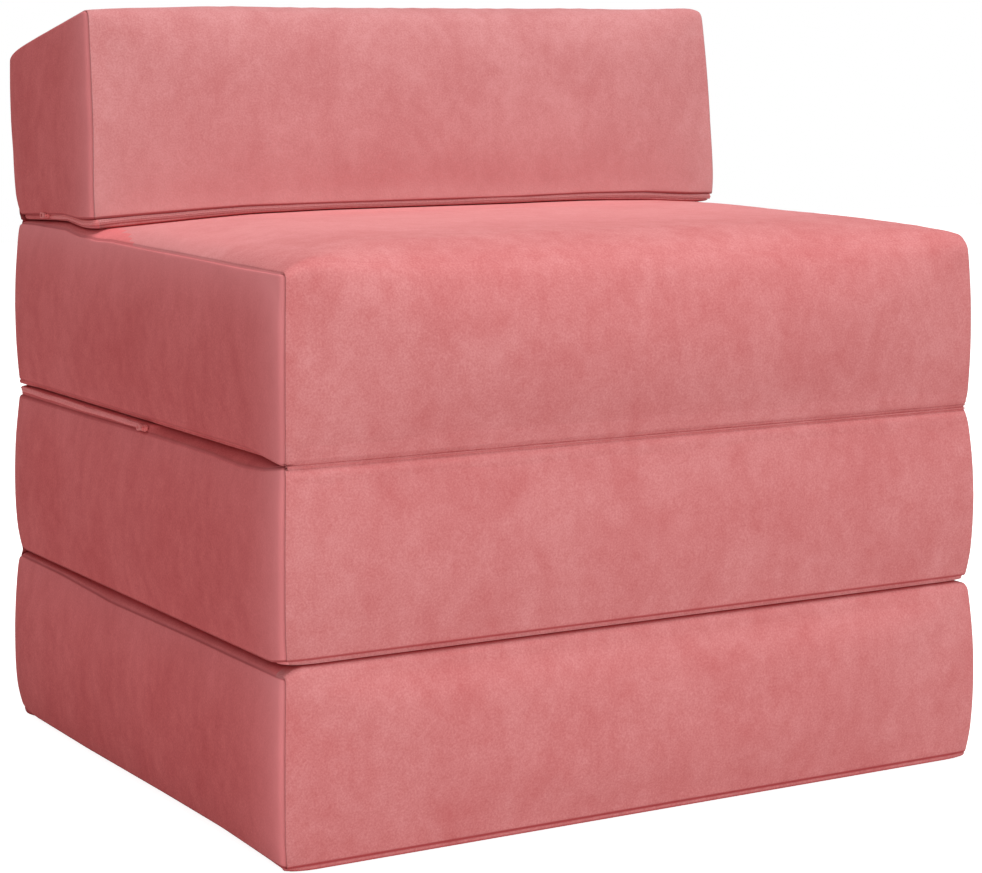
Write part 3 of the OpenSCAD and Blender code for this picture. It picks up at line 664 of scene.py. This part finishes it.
middleCut = {
    **blockCut, "band": 0.0055, "topBand": 0.0065, "seed": (8.2, 5.1, 1.3), "tuckTop": 0.0015,
    "tuck": (0.006, 0.005), "hidden": (0.5, 0), "cornerIn": (0.0025, 0.0014),
    "topHidden": lambda x, back: (x < 0.5) * (1 - ease(back, zipStart - 0.03, zipStart)),
    "dropLeft": lambda back: np.interp(back, [0, 0.03, 0.07, 0.14, 0.24, 0.45, 0.7, 1],
                                       [-0.0052, -0.0025, 0.001, 0.003, 0.001, 0.001, 0.003, 0.0035]),
    "dropRight": noLift,
    "liftLeft": lambda back: -0.0042 * ease(back, 0.0, 0.05), "liftRight": noLift,
    "roundFront": lambda across: 0.003 + 0 * across,
    "sideOut": noChange, "hang": lambda left, s: -0.0016 * (1 - s / blockCut["deep"]) ** 1.5,
    "bandIn": bandDepth(zips=[(True, 1, zipStart, True)],
                        creases=[(True, 0, 0.005), (False, 1, 0.003), (False, 0, 0.0014)]),
    "loose": freeWalls(0, blockCut["tall"]),
}
makeCushion("middleCushion", middleCut, "middle_block", Matrix.Translation((0, 0, middleFloor)),
            panelNodes("middle", "front_panel", "top_panel"))

backTilt, frontLean, rearLean = (math.radians(angle) for angle in (2.8, 3, 7.5))
backRise = 0.000457    # how far the seat's crown lifts the foot's rear edge


# The foot hangs over the seat's left edge, rides up on the crown and comes down again at the right.
# On the left it comes up toward the rear, so that the tape meets the slider at rest
def footSag(left, s):
    line = np.interp(left, [0, 0.055, 0.10, 0.145, 0.235, 0.42, 0.50, 0.566, 0.618, footWide],
                     [0.0047, 0.0019, -0.0003, -0.0021, -0.0024, -0.0026, -0.0040, -0.0034, -0.0006, 0.0])
    edge = 0.0048 * np.clip(1 - left / 0.06, 0, 1) ** 2 * np.interp(s, [0, 0.03, 0.07, footDeep], [1, 1, 0.2, 0.2])
    fade = np.exp(-(s / 0.035) ** 2)
    return line * fade + edge * (1 - fade)


# The foot's band is taller toward the left end and from the middle to the right end
def footHang(left, s):
    return (0.0037 * np.clip(1 - left / 0.22, 0, 1) + 0.002 * ease(left, 0.42, 0.6)) * np.exp(-(s / 0.06) ** 2)


# The backrest's foot presses the seat's crown flat, and the crown swells a little before the foot
def underFoot(x, y, swell):
    before = rearFold - footDeep - y
    left, s = np.clip(x + footWide / 2, 0, footWide), np.clip(-before, 0, footDeep)
    foot = backRise + (rearFold - y) * math.tan(backTilt) - 0.0003 - footSag(left, s) - footHang(left, s)
    swell = swell + 0.0045 * np.exp(-(before / 0.04) ** 2) * (1 - np.clip(np.abs(x) / 0.31, 0, 1) ** 8)
    # inside the side seam it rises to the foot, and the seam itself keeps its line
    inside = ease(np.minimum(left, footWide - left), 0.0, 0.012)
    under = np.minimum(swell, foot) + np.clip(foot - swell, 0, 1) * inside
    return np.where(before < 0, under, np.minimum(swell, foot + 0.05 * before - 0.0008))


# The backrest's weight holds the crown under its foot and just before it
def seatFree(point):
    held = ease(point[2], 0.11, 0.13) * ease(point[1], -0.03, 0.07)
    return freeWalls(0, 0.5)(point) * (1 - held)


seatCut = {
    **blockCut, "band": 0.0045, "crownTop": 0.0098, "roundRear": 0.009, "seed": (1.9, 9.3, 4.4), "tuckLow": 0.0015,
    "crownSide": 0.0032, "crownEdge": 0.4, "crownShape": lambda back: hump(back) ** 0.7, "cornerIn": (0, 0),
    "hidden": (0.45, 0), "topHighlight": 0.75, "crownHighlight": 0.35, "stitchesAndShade": (0.4, 0.1, 0.5),
    "shoulder": lambda back: np.interp(back, [0.6, 0.72], [0.030, 0.012]),
    "shadedStrip": lambda back: np.interp(back, [0.5, 0.6, 0.72, 1], [0, 0.012, 0.035, 0.045]),
    "pressed": underFoot,
    "roundFront": lambda across: np.interp(across, [-1, -0.85, -0.4, 0.5, 0.9, 1],
                                           [0.006, 0.012, 0.024, 0.028, 0.018, 0.012]),
    "dropLeft": lambda back: np.interp(back, [0, 0.03, 0.15, 0.45, 0.55, 0.6, 0.65, 0.676, 0.7, 0.75, 0.86, 1],
                                       [0.0095, 0.0105, 0.0116, 0.0108, 0.0099, 0.0093,
                                        0.0076, 0.0063, 0.0057, 0.0052, 0.0036, 0.0015]),
    "dropRight": lambda back: np.interp(back, [0, 0.1, 0.25, 0.6, 1], [0.0048, 0.0022, 0.0025, 0.0035, 0.0025]),
    "liftLeft": lambda back: -0.0060 * (1 - ease(back, 0, 0.13)), "liftRight": noLift,
    "sideOut": lambda isRight, up, back: np.where(isRight, -0.0028 * hump(up), 0),
    "bandIn": bandDepth(zips=[(False, 1, zipStart, False)], creases=[(False, 0, 0.005)]),
    "loose": seatFree,
}
makeCushion("seatCushion", seatCut, "seat_block", Matrix.Translation((0, 0, seatFloor)),
            panelNodes("seat", "wrap_panel"))

backPlace = Matrix.Translation((0, rearFold, seatTop + backRise)) @ Matrix.Rotation(-backTilt, 4, "X")
backCut = {
    **blockCut, "halfWide": footWide / 2, "band": 0.0055, "crownTop": 0.0080, "seed": (6.6, 2.8, 3.9),
    "bow": 0.0015, "crownSide": 0.0025, "crownEdge": 0.8, "tuck": (0.006, 0.005), "topHighlight": 0.1, "footHighlight": 0.55,
    "sag": footSag, "hang": footHang, "velvet": velvetLitBack, "stitchesAndShade": (1.6, 0.1, 0.5),
    "crownShape": lambda back: np.interp(back, [0, 0.15, 0.35, 0.6, 0.8, 0.9, 0.96, 1],
                                         [0, 0.2, 0.45, 0.78, 1, 1, 0.8, 0.35]),
    # front low, front top, rear top and rear low, from the foot's rear edge
    "corners": [(0.0055 * math.tan(frontLean) - footDeep, 0.0055),
                (0.183 * math.sin(frontLean) - footDeep, 0.183 * math.cos(frontLean)),
                (0.147 * math.sin(rearLean), 0.147 * math.cos(rearLean)), (0.0055 * math.tan(rearLean), 0.0055)],
    "roundFront": lambda across: 0.010 + 0.005 * (1 - across ** 4),
    "edgeRise": lambda across: 0.005 * np.where(across > 0, 1 + 0.6 * across ** 2 - 0.9 * across ** 60,
                                                1 - across ** 6),
    "dropLeft": noLift, "dropRight": noLift, "liftLeft": noLift, "liftRight": noLift,
    "sideOut": lambda isRight, up, back: (0.0022 * np.clip(1 - up / 0.4, 0, 1)
                                          - np.where(isRight, 0.002 * hump(up), 0)),
    "bandIn": bandDepth(zips=[(False, -1, 1 - footZip / footDeep, True)], creases=[(False, 1, 0.003)]),
    "loose": freeWalls(0, 0.5),
}
makeCushion("backCushion", backCut, "back_block", backPlace, panelNodes("back", "wrap_panel"))


# Zips: two lips of tape with the closed coil between them, round three walls of a block
zipCut = {
    "inset": 0.0017, "corner": 0.004, "pitch": 0.002, "rib": 0.00012,
    # height and depth of the section in mm, from the tape's lower edge round its face to the upper
    "section": [(-2.3, -1.4), (-2.35, -0.4), (-2.1, 0.15), (-1.6, 0.5), (-1.0, 0.6),
                (-0.75, 0.42), (-0.55, 0.74), (0, 0.95), (0.55, 0.74), (0.75, 0.42),
                (1.0, 0.6), (1.6, 0.5), (2.1, 0.15), (2.35, -0.4), (2.3, -1.4)],
    "coil": 0.0006,      # half the height of the ribbed part
    "low": 0.00375,      # height of a lower zip's middle above its block's floor
}


def zipPath(halfWide, near, far, end, tucked):
    # from the left wall at y near, round the wall at y far, to the right wall; end is that wall's sign
    side, wall, r = halfWide - zipCut["inset"], far - end * (zipCut["inset"] + tucked / 3), zipCut["corner"]
    step = zipCut["pitch"] / 3
    turns = np.linspace(0, math.pi / 2, 9)[1:-1]
    points = []

    def straight(a, b, out):
        a, b = np.array(a), np.array(b)
        count = max(2, int(np.hypot(*(b - a)) / step))
        points.extend((*p, *out) for p in a + (b - a) * np.linspace(0, 1, count + 1)[:, None])

    def corner(sign, angles):
        centre = np.array((sign * (side - r), wall - end * r))
        for angle in angles:
            out = np.array((sign * math.cos(angle), end * math.sin(angle)))
            points.append((*(centre + r * out), *out))

    straight((-side, near), (-side, wall - end * r), (-1, 0))
    corner(-1, turns)
    straight((-side + r, wall), (side - r, wall), (0, end))
    corner(1, math.pi / 2 - turns)
    straight((side, wall - end * r), (side, near), (1, 0))
    points = np.array(points)
    points[:, 0] = np.where(points[:, 0] < 0, points[:, 0] * (1 - tucked / side), points[:, 0])
    return points


def makeZip(name, body, node, place, halfWide, near, far, end, height, tucked=0, sag=None):
    path = zipPath(halfWide, near, far, end, tucked)
    along = np.concatenate([[0], np.cumsum(np.hypot(*np.diff(path[:, :2], axis=0).T))])
    section = np.array(zipCut["section"]) / 1000
    shift = Vector((height * 50, near, far * 3))
    points = []
    for (x, y, outX, outY), run in zip(path, along):
        wave = noise.noise(Vector((run * 28, 0, 0)) + shift)
        sway = noise.noise(Vector((run * 16, 4, 0)) + shift) * min(1, run / 0.05)
        rib = zipCut["rib"] * math.cos(2 * math.pi * run / zipCut["pitch"])
        lower = sag(x + halfWide, y - far) + 0.4 * footHang(x + halfWide, y - far) if sag else 0
        for up, depth in section:
            depth += rib * (abs(up) < zipCut["coil"]) + 0.0003 * wave
            z = height + up * (1 + 0.12 * wave) + 0.0006 * sway - lower
            points.append((x + outX * depth, y + outY * depth, z))
    wide = len(section)
    faces = [(i * wide + j, i * wide + (j + 1) % wide, (i + 1) * wide + (j + 1) % wide, (i + 1) * wide + j)
             for i in range(len(path) - 1) for j in range(wide)]
    faces += [tuple(range(wide)), tuple(range((len(path) - 1) * wide, len(path) * wide))]
    mesh = bpy.data.meshes.new(name)
    mesh.from_pydata(points, [], faces)
    work = bmesh.new()
    work.from_mesh(mesh)
    bmesh.ops.recalc_face_normals(work, faces=work.faces)
    work.to_mesh(mesh)
    work.free()
    mesh.shade_smooth()
    mesh.transform(place)
    sideways = np.repeat(np.abs(path[:, 2]), wide).astype(np.float32)
    mesh.attributes.new("alongSide", "FLOAT", "POINT").data.foreach_set("value", sideways)
    mesh.materials.append(nylonZip)
    piece = bpy.data.objects.new(name, mesh)
    bpy.context.scene.collection.objects.link(piece)
    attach(piece, body)
    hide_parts(node)
    print(name, "made,", len(faces), "faces")


# the middle block's zip runs along its top, the others along the foot of their block
for block, floorAt, height, tucked in (("base", 0, zipCut["low"], 0.013), ("middle", middleFloor, 0.14625, 0),
                                       ("seat", seatFloor, zipCut["low"], 0.006)):
    makeZip(block + "Zip", block + "_block", block + "_zip_tape", Matrix.Translation((0, 0, floorAt)),
            blockCut["halfWide"], halfDeep - zipRun, halfDeep, 1, height, tucked)
makeZip("backZip", "back_block", "back_zip_tape", backPlace, footWide / 2, footZip - footDeep, -footDeep, -1,
        zipCut["low"], 0, footSag)


# Hinges: the fabric runs on from one block into the next, in a sewn valley
hingeCut = {
    "halfWide": 0.3225,
    # heights of the rows above the fold, in mm, for a hinge that reaches 20 mm
    "rows": [0.2, 0.6, 1.1, 1.6, 2.1, 2.7, 3.3, 4, 4.8, 5.7, 7, 9, 12, 15.5, 20],
    "rearValley": (0.003, 0.006, (0, 0)),    # depth, half width, and how far it lies off the fold, left and right
    "frontValley": (0.0031, 0.0060, (-0.0026, -0.0012)),
    "rearReach": 0.016, "frontReach": 0.020,
    "flex": 0.00015,     # half the height that bends
}


def makeHinge(name, node, wall, lowFace, highFace, foldZ, valley, reach):
    # faces give y for a height; wall is 1 at the rear and -1 at the front
    steps = np.array(hingeCut["rows"]) / 1000 * reach / 0.020
    heights = np.concatenate([-steps[::-1], steps])
    wide = 2 * hingeCut["halfWide"]
    xs = stations(wide)
    side = np.minimum(xs, wide - xs)
    points, count = [], len(heights)
    for h in heights:
        face = lowFace(foldZ + h) if h < 0 else highFace(foldZ + h)
        out = np.interp(abs(h), [0, reach * 0.45, reach], [0.00015, 0.00015, -0.0004])
        for x, near in zip(xs, side):
            offset = np.interp(x / wide, [0, 1], valley[2])
            deep = valley[0] * max(0, 1 - ((h - offset) / valley[1]) ** 2) ** 2
            lump = noise.noise(Vector((x * 30, h * 20, foldZ * 9))) * 0.0005 * max(0, 1 - abs(h) / 0.010)
            y = face + wall * (out - deep + lump - float(roll(np.array([near + 0.0013]))[0]))
            points.append((x - hingeCut["halfWide"], y, foldZ + h))
    faces = [(i * len(xs) + j, i * len(xs) + j + 1, (i + 1) * len(xs) + j + 1, (i + 1) * len(xs) + j)
             for i in range(count - 1) for j in range(len(xs) - 1)]
    mesh = bpy.data.meshes.new(name)
    mesh.from_pydata(points, [], faces)
    mesh.shade_smooth()
    mesh.materials.append(velvetAlong)
    piece = bpy.data.objects.new(name, mesh)
    bpy.context.scene.collection.objects.link(piece)
    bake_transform(piece)
    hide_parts(node)
    print(name, "made")


def wallFace(cut, floorAt, wall, crown):
    low, high = floorAt + cut["band"], floorAt + cut["tall"] - cut.get("topBand", 0)

    def face(z):
        up = min(1, max(0, (z - low) / (high - low)))
        return wall * (halfDeep + cut[crown] * hump(up))
    return face


def backFace(z):
    foot = z - seatTop - backRise
    bulge = 0.003 * hump(min(1, max(0, foot - 0.0055) / 0.140))
    return rearFold + max(0, foot) * math.tan(rearLean + backTilt) + bulge


makeHinge("frontCrease", "front_hinge_fabric", -1,
          wallFace(middleCut, middleFloor, -1, "crownFront"), wallFace(seatCut, seatFloor, -1, "crownFront"),
          0.3009, hingeCut["frontValley"], hingeCut["frontReach"])
makeHinge("lowerHinge", "lower_hinge_fabric", 1,
          wallFace(baseCut, 0, 1, "crownRear"), wallFace(middleCut, middleFloor, 1, "crownRear"),
          0.1503, hingeCut["rearValley"], hingeCut["rearReach"])
makeHinge("backHinge", "back_hinge_fabric", 1,
          wallFace(seatCut, seatFloor, 1, "crownRear"), backFace,
          0.4514, hingeCut["rearValley"], hingeCut["rearReach"])

# Sliders and pulls are the CAD's own, in paint
for block in ("base", "middle", "seat", "back"):
    for part in ("zip_slider", "zip_pull"):
        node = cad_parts[f"{block}_{part}"]
        node.data.materials.clear()
        node.data.materials.append(sprayedZinc)


# 1 for rays that show a surface in the picture, 0 for those that light by it
def shownRays(tree):
    rays = addNode(tree, "ShaderNodeLightPath")
    shown = addNode(tree, "ShaderNodeMath", {0: (rays, "Is Camera Ray"), 1: (rays, "Is Glossy Ray")},
                    operation="MAXIMUM")
    return addNode(tree, "ShaderNodeMath", {0: (shown, "Value"), 1: (rays, "Is Transmission Ray")},
                   operation="MAXIMUM")


# Floor and light: pale paper that shows as white and keeps the shadow, a soft key and a soft fill
lightPlan = {
    "world": 0.27,
    "floorGlow": 0.92,
    "softKey": {"size": 3.0, "power": 272, "from": (0.3, -1.3, 6.0)},
    "softFill": {"size": 3.0, "power": 117, "from": (-0.8, -4.9, 0.9)},
    "aim": (0, 0, 0.3),
}
floorMesh = bpy.data.meshes.new("studioFloor")
floorMesh.from_pydata([(-6, -6, 0), (6, -6, 0), (6, 6, 0), (-6, 6, 0)], [], [(0, 1, 2, 3)])
floor = bpy.data.objects.new("studioFloor", floorMesh)
floor.location.z = -0.0005
bpy.context.scene.collection.objects.link(floor)
floorMaterial, floorTree = newMaterial("paperFloor")
floorGlow = addNode(floorTree, "ShaderNodeMath", {0: (shownRays(floorTree), "Value"), 1: lightPlan["floorGlow"]},
                    operation="MULTIPLY")
floorShader = addNode(floorTree, "ShaderNodeBsdfPrincipled", {"Base Color": linear("#CFCDCB"), "Roughness": 0.9,
                                                              "Emission Color": linear("#FFFFFF"),
                                                              "Emission Strength": (floorGlow, "Value")})
addNode(floorTree, "ShaderNodeOutputMaterial", {"Surface": (floorShader, "BSDF")})
floorMesh.materials.append(floorMaterial)

world = bpy.data.worlds.new("studio")
bpy.context.scene.world = world
world.use_nodes = True
skyTree = world.node_tree
skyTree.nodes.clear()
strength = addNode(skyTree, "ShaderNodeMapRange", {"Value": (shownRays(skyTree), "Value"),
                                                   "To Min": lightPlan["world"], "To Max": 1.0})
background = addNode(skyTree, "ShaderNodeBackground", {"Color": linear("#FFFFFF"), "Strength": (strength, "Result")})
addNode(skyTree, "ShaderNodeOutputWorld", {"Surface": (background, "Background")})

for lampName in ("softKey", "softFill"):
    plan = lightPlan[lampName]
    lampData = bpy.data.lights.new(lampName, "AREA")
    lampData.size = plan["size"]
    lampData.energy = plan["power"]
    lamp = bpy.data.objects.new(lampName, lampData)
    lamp.location = plan["from"]
    lamp.rotation_euler = (Vector(lightPlan["aim"]) - lamp.location).to_track_quat("-Z", "Y").to_euler()
    bpy.context.scene.collection.objects.link(lamp)
bpy.context.scene.view_settings.view_transform = "Standard"
print("stage and light set")
